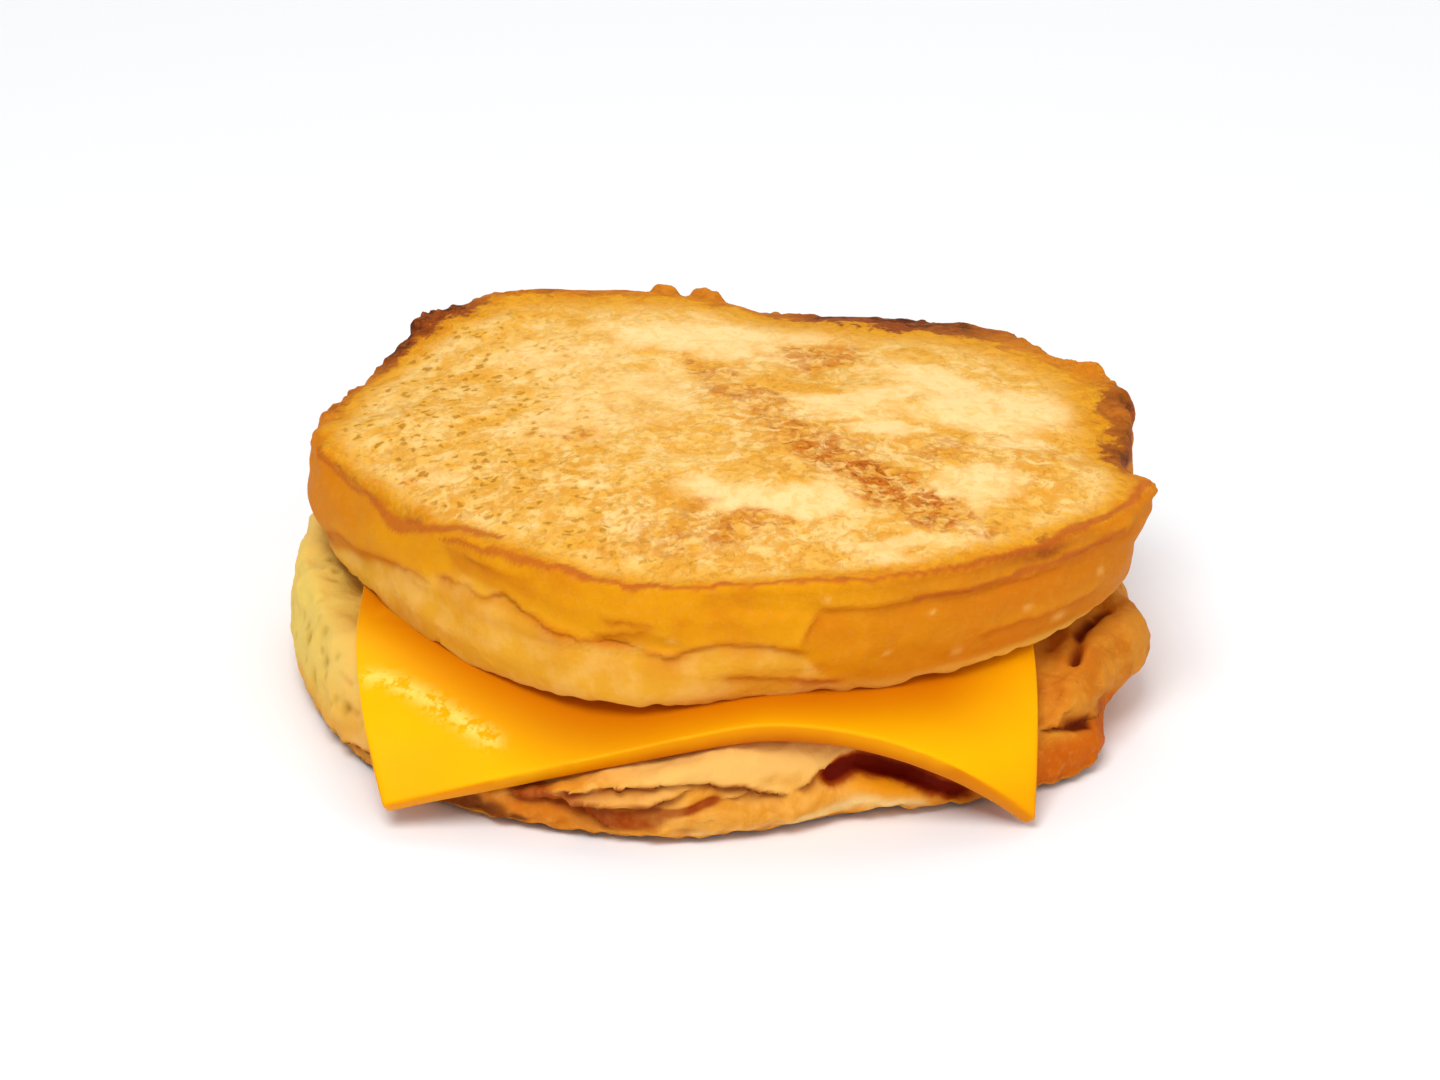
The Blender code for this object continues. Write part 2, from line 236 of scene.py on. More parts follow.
class Slice:
    # a slice of bread as a fine mesh and arrays: where its points are, and how each one lies on the slice
    def __init__(self, node, name, spec):
        self.piece = copyOfNode(node, name)
        applyModifier(self.piece, "REMESH", mode="VOXEL", voxel_size=breadVoxel * mm)
        applyModifier(self.piece, "SMOOTH", factor=0.5, iterations=3)
        self.spec = spec
        self.points = places(self.piece)
        self.normals = normals(self.piece)
        self.turn, self.reach = aroundPiece(self.points, spec["middle"])
        self.flat = self.points[:, :2] - spec["middle"]
        self.outward = np.column_stack([self.flat / self.reach[:, None], np.zeros(len(self.flat))])
        self.upright = np.tile([0.0, 0.0, 1.0], (len(self.flat), 1))
        # how much of each point is face, underside or crust
        self.up = step(self.normals[:, 2], 0.35, 0.75)
        self.down = step(-self.normals[:, 2], 0.35, 0.75)
        self.side = 1.0 - self.up - self.down
        self.arcScale = 0.92  # mm along the crust for each degree round it
        self.folded = {name: np.zeros(len(self.flat)) for name in ("crease", "shade", "lit")}

    def height(self):
        return self.points[:, 2]

    def push(self, amount, ways):
        self.points += ways * amount[:, None]

    def lumps(self, *specs):
        # noise of several sizes together: (mm, size, where it starts)
        return sum(by * cloud(self.points, *rest) for by, *rest in specs)

    def onCrust(self, path):
        # distances from a wavering line on the crust, given as (angle, height)
        start = path[0][0]
        wavy = np.column_stack([((self.turn - start + 60.0) % 360.0 - 60.0) * self.arcScale, self.height()])
        for by, size in ((0.5, 7.0), (0.16, 2.2)):
            wavy += by * clouds(self.points, size, start, start + 4.0)
        line = [(fromAngle(angle, start) * self.arcScale, z) for angle, z in path]
        distance, along, side, run = nearPath(wavy, line)
        ends = step(along, 0.0, 3.0) * (1.0 - step(along, run - 3.0, run))
        return distance, side > 0.0, ends

    def fold(self, path, depth, lip):
        # the crust buckles along a line: it swells and hangs over on its left, and is drawn in on its right
        wide, tint = self.spec["foldWidth"], self.spec["foldTint"]
        distance, over, ends = self.onCrust(path)
        here = ends * (1.0 - self.down) * (1.0 - self.up)
        upper = np.where(over, bump(distance, wide * 1.3), 0.0) * here
        lower = np.where(over, 0.0, np.exp(-distance / wide) * step(distance, -0.6, 0.5)) * here
        self.push(lip * upper - depth * lower, self.outward)
        self.points[:, 2] -= 0.4 * lip * upper * bump(distance, wide * 0.6)
        # painted shade in the crease and on the drawn-in side below it, and painted light along the lip above
        # it
        strength = np.clip(depth * tint * (0.75 + 0.5 * cloud(self.points, 6.0)), 0.0, 1.0) * here
        crease = np.where(over, bump(distance, 0.3), np.exp(-distance / min(0.5 * tint, 0.9)))
        shade = np.where(over, bump(distance, 0.6), np.exp(-distance / (1.7 * wide)))
        lit = np.where(over, bump(distance - 1.0, 0.9), 0.0)
        for name, value in (("crease", crease), ("shade", shade), ("lit", lit)):
            self.folded[name] = np.maximum(self.folded[name], value * strength)

    def band(self, path, wide):
        # 1 along a line on the crust, fading out at its ends
        distance, _, ends = self.onCrust(path)
        return bump(distance, wide) * ends

    def groove(self, path, depth, wide):
        # a groove, or with a negative depth a rib, along a line through space
        here = bump(nearPath(self.points, path)[0], wide)
        self.push(-depth * here, self.normals)
        return here

    def acrossRim(self, low):
        # mm across the rim: 0 on its edge, less than 0 on the face and more than 0 down the side
        facing = self.normals[:, 2]
        rim = (facing > 0.3) & (self.height() > low)
        inward = roundEdge(self.turn, self.reach, rim) - self.reach
        drop = roundEdge(self.turn, self.height(), rim & (inward < 3.0), 80) - self.height()
        across = np.maximum(drop, 0.0) * (1.0 - self.up) - np.maximum(inward, 0.0) * step(facing, 0.0, 0.5)
        return smoothed(self.piece, across, 6)

    def stripe(self, across, places):
        # 1 along a stripe round the rim, given as (angle, mm across the rim, half width)
        angles, middles, halves = zip(*places)
        inside = (self.turn > angles[0]) & (self.turn < angles[-1])
        half = np.interp(self.turn, angles, halves)
        uneven = self.lumps((0.3, 3.2, 2.0), (0.15, 1.3, 2.0))
        off = abs(across + uneven - np.interp(self.turn, angles, middles))
        return np.where(inside, 1.0 - step(off / half, 0.6, 1.25), 0.0)

    def store(self):
        # the points go into the mesh, none of them outside the solids' box
        low, high = np.array(cadBox[0]) / mm, np.array(cadBox[1]) / mm
        putPlaces(self.piece, np.clip(self.points, low + 0.01, high - 0.01))


class Val:
    # wraps a socket, so that an expression on values adds its Math nodes
    def __init__(self, tree, socket):
        self.tree = tree
        self.socket = socket

    def math(self, operation, *others):
        return node(self.tree, "ShaderNodeMath", {"operation": operation}, dict(enumerate([self, *others])))

    def __add__(self, other):
        return self.math("ADD", other)

    def __sub__(self, other):
        return self.math("SUBTRACT", other)

    def __mul__(self, other):
        return self.math("MULTIPLY", other)

    def __truediv__(self, other):
        return self.math("DIVIDE", other)

    def __rsub__(self, other):
        return (self * -1.0) + other

    __radd__ = __add__
    __rmul__ = __mul__

    def part(self, low, high):
        # 0 below low, 1 above high, smooth between
        made = {"interpolation_type": "SMOOTHSTEP"}
        return node(self.tree, "ShaderNodeMapRange", made, {"Value": self, "From Min": low, "From Max": high})


def node(tree, kind, settings, values, out=0):
    made = tree.nodes.new(kind)
    for key, value in settings.items():
        setattr(made, key, value)
    for key, value in values.items():
        socket = made.inputs[key]
        if isinstance(value, Val):
            tree.links.new(value.socket, socket)
        elif isinstance(value, tuple) and len(value) == 3 and socket.type == "RGBA":
            socket.default_value = (*value, 1.0)
        else:
            socket.default_value = value
    return Val(tree, made.outputs[out])


class Finish:
    # one material: its shader, its piece's colours and patterns, and short names for the nodes it is made of
    def __init__(self, name, spec):
        self.material = bpy.data.materials.new(name)
        self.material.use_nodes = True
        self.spec = spec
        self.tree = self.material.node_tree
        self.shader = self.tree.nodes["Principled BSDF"]
        for key, value in spec["shader"].items():
            self.shader.inputs[key].default_value = value
        place = node(self.tree, "ShaderNodeTexCoord", {}, {}, out=3)
        self.place = self.vector("SCALE", {0: place, "Scale": 1.0 / mm})

    def vector(self, operation, values):
        return node(self.tree, "ShaderNodeVectorMath", {"operation": operation}, values)

    def feed(self, socket, value):
        self.tree.links.new(value.socket, self.shader.inputs[socket])

    def painted(self, name):
        return node(self.tree, "ShaderNodeAttribute", {"attribute_name": name}, {}, out=2)

    def pattern(self, name):
        size, detail, rough, distortion = self.spec["patterns"][name]
        values = {"Vector": self.place, "Scale": 1.0 / size, "Detail": detail}
        values.update({"Roughness": rough, "Distortion": distortion})
        return node(self.tree, "ShaderNodeTexNoise", {}, values)

    def cells(self, spacing, size, amount):
        # scattered dots seen from above: 0 in their middles, their outlines bent by noise
        colour = node(self.tree, "ShaderNodeTexNoise", {}, {"Vector": self.place, "Scale": 1.0 / size}, out=1)
        centred = self.vector("SUBTRACT", {0: colour, 1: (0.5, 0.5, 0.5)})
        bent = self.vector("MULTIPLY_ADD", {0: centred, 1: (amount,) * 3, 2: self.place})
        made = {"voronoi_dimensions": "2D"}
        return node(self.tree, "ShaderNodeTexVoronoi", made, {"Vector": bent, "Scale": 1.0 / spacing})

    def mix(self, factor, first, second):
        # either colour may be one of the piece's own, by name
        own = self.spec["colours"]
        first, second = [srgb(*own[name]) if isinstance(name, str) else name for name in (first, second)]
        made = {"data_type": "RGBA", "clamp_factor": True}
        return node(self.tree, "ShaderNodeMix", made, {"Factor": factor, 6: first, 7: second}, out=2)

    def relief(self, height):
        distance, strength = self.spec["relief"]
        values = {"Height": height, "Distance": distance * mm, "Strength": strength}
        self.feed("Normal", node(self.tree, "ShaderNodeBump", {}, values))


def srgb(red, green, blue):
    # a colour in numbers up to 255, as a node takes it
    return tuple(((c / 255 + 0.055) / 1.055) ** 2.4 for c in (red, green, blue))


topSlice = {
    "middle": (1.1, 3.05),
    "rimHeight": 28.0,  # mm, above which the rim and the face lie
    # round the rim, by angle: how far it stands up in mm, and how much fuller its corner gets
    "ridge": ((0, 0.45), (40, 0.35), (70, 0.2), (84, -0.5), (112, -0.7), (132, -0.1), (145, 0.3),
              (180, 0.45), (215, 0.2), (270, 0.1), (330, 0.4)),
    "sharp": ((0, 0.5), (90, 0.2), (170, 0.4), (200, 0.6), (240, 0.9), (300, 0.9), (340, 0.7)),
    # how ragged it is, how burnt it is, and how far in the browning and the golden halo reach in mm
    "ragged": ((0, 1.0), (22, 1.1), (40, 0.9), (60, 0.7), (90, 0.7), (125, 0.8), (140, 1.2), (165, 1.2),
               (185, 0.7), (200, 0.3), (220, 0.15), (320, 0.2), (342, 0.7)),
    "burnt": ((5, 0.72), (10, 0.78), (14, 0.65), (19, 0.35), (28, 0.4), (36, 0.55), (44, 0.8), (54, 1.0),
              (70, 0.95), (80, 0.6), (88, 0.45), (96, 0.5), (105, 0.4), (112, 0.55), (120, 0.6),
              (128, 0.55), (136, 1.0), (148, 0.95), (155, 0.5), (166, 0.65), (174, 0.35), (183, 0.6),
              (200, 0.55), (215, 0.5), (240, 0.4), (270, 0.35), (297, 0.45), (311, 0.55), (322, 0.7),
              (334, 0.35), (342, 0.3), (351, 0.85)),
    "browned": ((0, 4.2), (10, 5.0), (20, 4.2), (28, 5.0), (36, 7.0), (44, 9.5), (52, 10.5), (62, 9.5),
                (75, 6.8), (88, 5.2), (100, 5.4), (112, 6.6), (122, 6.8), (132, 5.4), (140, 5.0),
                (150, 4.6), (160, 3.6), (170, 3.2), (180, 1.8), (190, 1.0), (200, 1.2), (215, 0.8),
                (230, 0.4), (245, 0.0), (280, 0.0), (295, 0.6), (310, 0.8), (322, 1.2), (335, 1.6),
                (345, 2.8)),
    "halo": ((0, 6.0), (15, 7.0), (35, 9.5), (60, 8.5), (90, 7.0), (115, 8.5), (130, 7.0), (145, 4.2),
             (165, 3.8), (185, 3.4), (200, 2.4), (215, 2.0), (250, 2.4), (290, 2.4), (310, 2.6),
             (325, 3.0), (345, 5.0)),
    # where the face ends and the side begins, in mm across the rim's rounding
    "rimLine": ((180, 0.0), (190, -0.3), (200, -0.9), (212, -1.2), (226, -1.6), (244, -2.5), (256, -2.4),
                (266, -2.2), (276, -1.8), (290, -0.6), (305, 0.0)),
    "frontRidge": (0.4, 0.2, 0.8),  # the bead along the front rim: its height, place and half width in mm
    "frontArc": ((190, 205), (325, 345)),  # the angles between which it rises and falls
    # where the rim comes to a point: (angle, half width in mm, out, up)
    "peaks": ((342, 3.0, 0.6, 0.3), (183, 1.6, 1.4, 1.3), (168, 1.8, 1.3, 0.9), (138, 2.2, 1.0, 0.9),
              (22, 3.6, 0.9, 0.9), (12, 2.2, 1.2, 0.2), (47, 2.5, 0.4, 0.5)),
    # crumbs that stand up on the far rim: (x, y, half width)
    "flakes": ((-8.8, 44.6, 2.1), (-2.6, 42.9, 2.5)),
    "flakeHeight": (1.9, 0.25),  # and how uneven that is
    # smooth pale places on the face, and toasted ones: (x, y, half width, half depth, tilt, strength)
    "pale": ((-3, 27, 16, 7.5, -4, 1.0), (17, 3.5, 11, 3.6, 8, 0.95), (34, 6, 16, 7, -38, 1.0),
             (22, -3, 5, 2.6, 0, 0.9), (6, -26, 11, 4.4, 4, 1.0), (34, -22, 8, 4, 25, 0.8),
             (24, -38, 9, 3, 20, 0.75), (-19, -3, 12, 7, 0, 0.5), (-24, 20, 11, 6, -10, 0.5),
             (-13, 8, 11, 7, 0, 0.5), (-20, -20, 6, 2, 10, 0.7), (42, -8, 5, 4, 0, 0.6),
             (8, 18, 5, 3, 0, 0.7), (-38, -14, 6, 3, -20, 0.5)),
    "brown": ((14, 20, 7, 5, 30, 0.62), (-3, 14, 6, 3, -52, 0.5), (3, 3, 7, 3, -50, 0.6),
              (9, -6, 7, 3.6, -42, 0.65), (15, -12, 7, 4.4, -42, 0.85), (20, -19, 7, 6, -50, 1.0),
              (26, -27, 7, 5, -55, 0.9), (1, -32, 8, 4.5, 10, 0.65), (34, -33, 5, 2, 30, 0.6),
              (-22, -5, 4, 2, 0, 0.75), (-9, -37, 8, 3, 0, 0.4), (-41, -13.5, 2, 1, 0, 0.9),
              (30, -12, 5, 4, 0, 0.45)),
    "tan": ((-30, -20, 17, 8, 30, 0.8), (-12, -28, 14, 8, 0, 0.85), (8, -33, 12, 5, 0, 0.9),
            (12, 27, 9, 4, -10, 0.8), (12, -8, 28, 13, -44, 0.85), (38, -14, 13, 13, 0, 0.8),
            (8, 16, 14, 9, 20, 0.6), (-38, 0, 11, 18, 0, 0.5), (12, -38, 22, 6, 8, 0.7),
            (-5, -8, 14, 6, -10, 0.5)),
    # what tears the outlines of those places: (mm, size, start for x, start for y)
    "warp": ((3.4, 8.0, 3.1, 9.7), (1.2, 2.6, 5.3, 7.9)),
    "porous": (-32, -4),  # the pores thin out between these places across the face
    "pores": (2.7, 0.9, 0.8, 0.25),  # spacing, radius, share of them, depth
    # the lower edge of the browned crust round the side: (angle, height in mm)
    "crustLine": ((166, 16), (184, 18.7), (192, 20.7), (206, 24.1), (214, 26), (222, 27.6), (231, 27.8),
                  (238, 26.1), (243, 25.1), (250, 24.8), (262, 24.5), (267, 25.6), (271, 25.9),
                  (276, 25.2), (282, 24), (286, 20), (291, 16), (350, 14), (20, 17), (60, 21), (90, 23),
                  (120, 22), (150, 18)),
    # folds in the crust: (path of angle and height, depth, lip)
    "folds": (
        (((172, 17.5), (186, 21.4), (195, 23.2), (207, 25.4), (218, 26)), 0.15, 0.21),
        (((216, 26.4), (224, 27.0), (229, 27.3), (232, 28.2), (236, 26.6), (243, 25.1), (256, 25),
          (262, 24.5), (267, 25.6), (271, 25.9), (276, 25.2), (284, 23.6)), 0.27, 0.315),
        (((248, 25.4), (253, 26.2), (259, 27.6)), 0.24, 0.245),
        (((249, 28.2), (254, 28.4), (260, 28.8)), 0.21, 0.21),
        (((281, 24), (283, 27), (286, 30.6)), 0.168, 0.21),
        (((284, 30.2), (298, 29.7), (312, 29.6), (320, 29.0), (325, 29.9), (332, 30.6),
          (338, 32)), 0.192, 0.21),
        (((268, 21.6), (277, 20.4), (291, 18.6)), 0.24, 0.21),
        (((222, 30.6), (230, 30.9), (240, 31.2)), 0.21, 0.245),
        (((310, 22), (322, 23), (334, 24)), 0.18, 0.14),
        (((20, 26), (50, 27), (75, 26)), 0.42, 0.35),
        (((95, 27), (120, 26), (150, 27)), 0.42, 0.35),
    ),
    "foldWidth": 1.6,
    "foldTint": 3.0,
    # the foot sags over the cheese: how far, below what heights, beyond what reach, and round what arc
    "sag": (0.9, (17.2, 20.0), (37.0, 41.0), ((195, 210), (335, 345))),
    # brown stripes along the rim's edge: (angle, mm across the rim, half width)
    "stripes": (
        ((180, 0.6, 0.5), (185, 0.6, 0.6), (195, 0.6, 0.7), (201, 0.7, 0.85), (207, 0.4, 0.95),
         (213, -0.2, 0.9), (217, -0.7, 0.7), (221, -1.1, 0.6), (228, -1.6, 0.4)),
        ((216, 1.3, 0.3), (222, 1.0, 0.45), (230, 0.7, 0.55), (237, 0.4, 0.5), (243, 0.2, 0.42),
         (250, 0.1, 0.36), (260, 0.1, 0.32), (276, 0.1, 0.32), (297, 0.1, 0.34)),
        ((296, 0.1, 0.34), (305, 0.1, 0.45), (315, 0.2, 0.55), (321, 0.0, 0.65), (328, -1.0, 0.8),
         (335, -1.6, 0.7), (343, -1.2, 0.5)),
        ((300, 4.6, 0.35), (308, 4.4, 0.45), (318, 4.0, 0.5), (326, 3.2, 0.5), (334, 2.4, 0.4)),
    ),
    # pale specks on the side: (angle, height, radius)
    "specks": ((308, 20.8, 0.6), (324, 22.0, 0.8), (286, 31.4, 0.5), (318, 24.4, 0.5), (262, 26.5, 0.5),
               (331, 26.5, 0.6), (296, 22.6, 0.4), (214, 22.5, 0.9), (303, 27.0, 0.35)),
    # painted shade on the crust of the right side, which faces away from the key lamp
    "rightSide": ((280, 318), (20, 60)),  # the arc of its darker crust
    "colours": {
        "base": (239, 188, 92), "straw": (232, 165, 54), "palest": (255, 218, 154), "tan": (218, 144, 40),
        "brown": (194, 102, 12), "darkBrown": (152, 72, 12), "poreShade": (176, 112, 20),
        "poreRing": (238, 176, 40), "halo": (226, 154, 20), "haloDeep": (206, 120, 8),
        "rimLight": (200, 108, 20), "rimDark": (144, 66, 16), "char": (84, 36, 14), "crust": (222, 147, 6),
        "crustDeep": (214, 132, 6), "crustEnd": (212, 122, 14), "crustRightShade": (207, 120, 13),
        "band": (228, 166, 44), "bandPale": (236, 180, 80), "stripe": (184, 88, 28), "shade": (206, 108, 4),
        "crease": (184, 84, 2), "lit": (236, 166, 30), "specks": (244, 190, 100),
    },
    # noise in the colours: (size in mm, detail, roughness, distortion)
    "patterns": {
        "broad": (6.0, 5.0, 0.62, 0.6),
        "flakes": (2.6, 5.0, 0.66, 1.2),
        "fine": (1.0, 3.0, 0.6, 0.0),
        "lace": (2.2, 3.0, 0.6, 0.7),
        "dimples": (1.4, 4.0, 0.6, 0.3),
        "poreGroups": (3.4, 2.0, 0.55, 0.0),
        "rimLumps": (3.4, 4.0, 0.65, 0.8),
        "crust": (8.0, 3.0, 0.55, 0.0),
        "band": (5.0, 3.0, 0.55, 0.0),
    },
    "dots": (2.3, 1.3, 2.2),  # the dark pores: spacing, and the size and reach of what bends their outlines
    "relief": (0.3, 0.6),  # the fine grain's height in mm, and its strength
    "shader": {"Roughness": 0.62, **breadShader},
}


def makeTopSlice():
    bread = Slice("bread_top", "toastTop", topSlice)
    shapeCrust(bread)
    marks = faceMarks(bread)
    across, inward = shapeRim(bread)
    porous = shapeFace(bread, marks, inward)
    bread.store()
    paintTop(bread, across)
    piece = bread.piece
    paint(piece, porous=porous, **marks)
    piece.data.materials.append(toastFinish())
    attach(piece, "root")
    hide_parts("bread_top")
    print("top slice", len(piece.data.polygons))


def shapeCrust(bread):
    # the rim's corner is filled out first, then the crust's folds and waves
    high = bread.height() > topSlice["rimHeight"] - 4.0
    corner = np.clip(1.0 - abs(bread.normals[:, 2] - 0.7) / 0.5, 0.0, 1.0) * high
    bread.push(corner * byAngle(bread.turn, topSlice["sharp"]), bread.normals)
    for path, depth, lip in topSlice["folds"]:
        bread.fold(path, depth, lip)
    wrinkled = np.column_stack([bread.turn * bread.arcScale, bread.height() * 2.6, bread.turn * 0.0])
    waves = bread.lumps((0.4, 10.0)) + 0.2 * cloud(wrinkled, 7.0) + bread.lumps((0.1, 2.6))
    bread.push(waves * bread.side, bread.outward)


def faceMarks(bread):
    # the pale, brown and tan places, with torn outlines
    torn = bread.flat.copy()
    for by, size, startX, startY in topSlice["warp"]:
        torn += by * clouds(bread.points, size, startX, startY)
    return {name: patches(torn, topSlice[name]) for name in ("pale", "brown", "tan")}


def shapeRim(bread):
    # the browned rim: a rough ridge, ragged where it is burnt
    spec, turn, flat = topSlice, bread.turn, bread.flat
    low = spec["rimHeight"]
    across = bread.acrossRim(low) - byAngle(turn, spec["rimLine"])
    by, middle, half = spec["frontRidge"]
    bread.push(by * bump(across - middle, half) * arc(turn, *spec["frontArc"]), bread.normals)
    onRim = (bread.normals[:, 2] > 0.3) & (bread.height() > low)
    inward = roundEdge(turn, bread.reach, onRim) - bread.reach

    ragged = byAngle(turn, spec["ragged"])
    uneven = np.clip(0.55 + bread.lumps((0.6, 9.0, 3.7)), 0.15, 1.3)
    crumbs = bread.lumps((0.8, 3.4, 1.3), (0.7, 1.3, 6.3)) * uneven
    rim = bump(inward - 1.0, 1.5) * step(bread.normals[:, 2], -0.1, 0.3)
    bread.push(rim * (byAngle(turn, spec["ridge"]) + (0.1 + 0.5 * ragged) * crumbs), bread.upright)
    edge = step(bread.height(), low, low + 4.0) * (1.0 - step(inward, 0.8, 3.0))
    bread.push(edge * ragged * (0.6 * crumbs + bread.lumps((0.7, 5.0, 2.2))), bread.outward)

    for angle, half, out, rise in spec["peaks"]:
        here = bump(fromAngle(turn, angle) * bread.arcScale, half) * edge
        bread.push(here * out, bread.outward)
        bread.push(here * rise * step(bread.normals[:, 2], -0.2, 0.4), bread.upright)
    tall, rough = spec["flakeHeight"]
    for x, y, half in spec["flakes"]:
        here = np.exp(-(((flat[:, 0] - x) / half) ** 6)) * bump(inward - 1.2, 1.5)
        here *= step(bread.normals[:, 2], 0.0, 0.4) * (np.sign(y) * flat[:, 1] > 0.0)
        bread.push(here * (tall + rough * crumbs), bread.upright)
    return across, inward


def shapeFace(bread, marks, inward):
    # broad waves, a crumbly surface between the pale places, and pores at the left
    crumb = 1.0 - 0.85 * marks["pale"]
    inner = bread.up * step(inward, 0.5, 2.5)
    waves = bread.lumps((0.3, 13.0)) + bread.lumps((0.16, 5.0)) * crumb
    bread.push(waves * inner, bread.upright)
    grain = bread.lumps((0.13, 1.6)) * crumb * (0.5 + 0.8 * marks["brown"])
    bread.push(grain * inner, bread.upright)
    porous = 1.0 - step(bread.flat[:, 0] + 0.25 * bread.flat[:, 1], *topSlice["porous"])
    porous *= step(inward, 3.0, 5.0)
    spacing, radius, chance, depth = topSlice["pores"]
    pores = pits(bread.points * np.array([0.8, 1.0, 0.0]), spacing, radius, chance)
    bread.push(-depth * pores * inner * porous, bread.upright)

    # the underside, and the foot where it sags over the cheese
    bread.push(bread.lumps((0.25, 2.2), (0.3, 6.0)) * bread.down, bread.upright)
    by, heights, reaches, angles = topSlice["sag"]
    sagging = (1.0 - step(bread.height(), *heights)) * step(bread.reach, *reaches)
    bread.push(-by * sagging * arc(bread.turn, *angles), bread.upright)
    return porous


def paintTop(bread, across):
    spec, piece, turn, height = topSlice, bread.piece, bread.turn, bread.height()
    burnt = byAngle(turn, spec["burnt"])
    faceEdge = across + bread.lumps((0.3, 1.8, 4.4))
    crustEdge = height - byAngle(turn, spec["crustLine"]) - bread.lumps((0.5, 4.0))
    specks = [bread.onCrust(((at - 0.3, z), (at + 0.3, z)))[0] / size for at, z, size in spec["specks"]]
    paint(
        piece,
        faceUp=(1.0 - step(faceEdge, -0.5, 0.5)) * (1.0 - bread.down),
        faceDown=bread.down,
        inward=-across / paintedReach,
        burnt=burnt,
        browned=byAngle(turn, spec["browned"]) / paintedReach,
        halo=byAngle(turn, spec["halo"]) / paintedReach,
        nearRim=step(height, spec["rimHeight"] + 0.5, spec["rimHeight"] + 4.5) * step(burnt, 0.4, 0.8),
        baked=step(crustEdge, -0.5, 0.8),
        ends=0.5 - 0.5 * np.cos(np.radians(turn - 262.0)),
        rightSide=arc(turn, *spec["rightSide"]),
        stripes=np.max([bread.stripe(across, stripe) for stripe in spec["stripes"]], axis=0),
        specks=bump(np.min(specks, axis=0), 0.9) * bread.side,
        **bread.folded,
    )


def toastFinish():
    finish = Finish("toast top", topSlice)
    painted, pattern, mix = finish.painted, finish.pattern, finish.mix
    pale, brown, tan = painted("pale"), painted("brown"), painted("tan")

    # the face: pale flakes over a browner crumb, with short dark strokes between them
    broad, flakes, fine = pattern("broad"), pattern("flakes"), pattern("fine")
    mottle = flakes.part(0.47, 0.62)
    strokes = (1.0 - ((flakes - 0.5).math("ABSOLUTE") * 22.0).part(0.0, 1.0)) * fine.part(0.42, 0.6)
    lace = pattern("lace").part(0.42, 0.58)
    worn = 1.0 - pale * 0.9
    colour = mix(broad.part(0.42, 0.68), "base", "straw")
    colour = mix((1.0 - mottle) * (1.0 - broad.part(0.3, 0.6)) * 0.6, colour, "palest")
    colour = mix(mottle * (0.25 + tan * 0.6) * worn, colour, "tan")
    colour = mix(strokes * (0.12 + tan * 0.4) * worn * broad.part(0.4, 0.6), colour, "brown")
    colour = mix(pale * (1.0 - brown) * (0.75 - mottle * 0.3), colour, "palest")
    colour = mix(brown * (0.15 + lace * 0.85), colour, "brown")
    darkest = strokes * 0.5 + lace * fine.part(0.5, 0.62) * 0.5
    colour = mix(brown * brown * darkest, colour, "darkBrown")
    colour = mix(pattern("dimples").part(0.52, 0.68) * (0.5 - pale * 0.4), colour, "tan")

    # its pores: painted shade in each hole, with a golden ring round it
    dots = finish.cells(*topSlice["dots"]) + (fine - 0.5) * 0.25
    some = pattern("poreGroups").part(0.42, 0.54) * painted("porous")
    holes = (1.0 - dots.part(0.1, 0.27)) * some
    colour = mix((1.0 - dots.part(0.2, 0.6)) * some * 0.35, colour, "poreRing")
    colour = mix(holes * 0.75, colour, "poreShade")

    # the rim: a golden halo, then brown, then burnt
    burnt, browned = painted("burnt"), painted("browned") * paintedReach
    near = painted("inward") * paintedReach + (broad - 0.5) * (4.0 + browned * 1.6)
    near = near + (flakes - 0.5) * (3.0 + browned * 0.6) + (fine - 0.5) * 2.0
    halo = (near - browned) / (painted("halo") * paintedReach)
    golden = mix(mottle * 0.7, "halo", "haloDeep")
    colour = mix((1.0 - halo.part(0.1, 1.0)) * (0.7 + flakes * 0.5), colour, golden)
    lumpy = burnt + (pattern("rimLumps") - 0.5) * 1.1
    outermost = 1.0 - (near - browned * 0.5).part(-0.5, 1.0)
    rim = mix(lumpy.part(0.35, 0.85), "rimLight", "rimDark")
    rim = mix(outermost * lumpy.part(0.8, 1.0), rim, "char")
    rim = mix(fine.part(0.5, 0.66) * 0.3, rim, "rimLight")
    browning = 1.0 - (near - browned).part(-1.4, 0.5)
    colour = mix(browning * (0.45 + burnt * 0.55), colour, rim)

    # the side: browned crust above, a soft pale band below
    crust = mix(pattern("crust").part(0.4, 0.65), "crust", "crustDeep")
    crust = mix(painted("ends").part(0.15, 0.5), crust, "crustEnd")
    # painted shade: the right side's crust darker, turned from the key lamp
    crust = mix(painted("rightSide"), crust, "crustRightShade")
    band = mix(pattern("band").part(0.4, 0.65), "band", "bandPale")
    side = mix(painted("baked"), band, crust)
    side = mix(fine.part(0.45, 0.75) * 0.12, side, "bandPale")
    # painted light on the folds' lips, painted shade in and below their creases, then the pale specks
    for name, strength in (("lit", 0.5), ("shade", 0.7), ("crease", 0.8), ("specks", 0.45)):
        side = mix(painted(name) * strength, side, name)
    side = mix((painted("nearRim") * (0.4 + fine)).part(0.3, 0.9), side, rim)
    side = mix(painted("faceDown"), side, mix(fine, "base", "band"))

    up = painted("faceUp")
    colour = mix(up, side, colour)
    colour = mix(painted("stripes") * (0.45 + broad * 0.6), colour, "stripe")
    finish.feed("Base Color", colour)
    finish.relief(fine * (0.35 + worn * 0.65) + strokes * up * worn * 0.5 - holes * 0.6)
    return finish.material


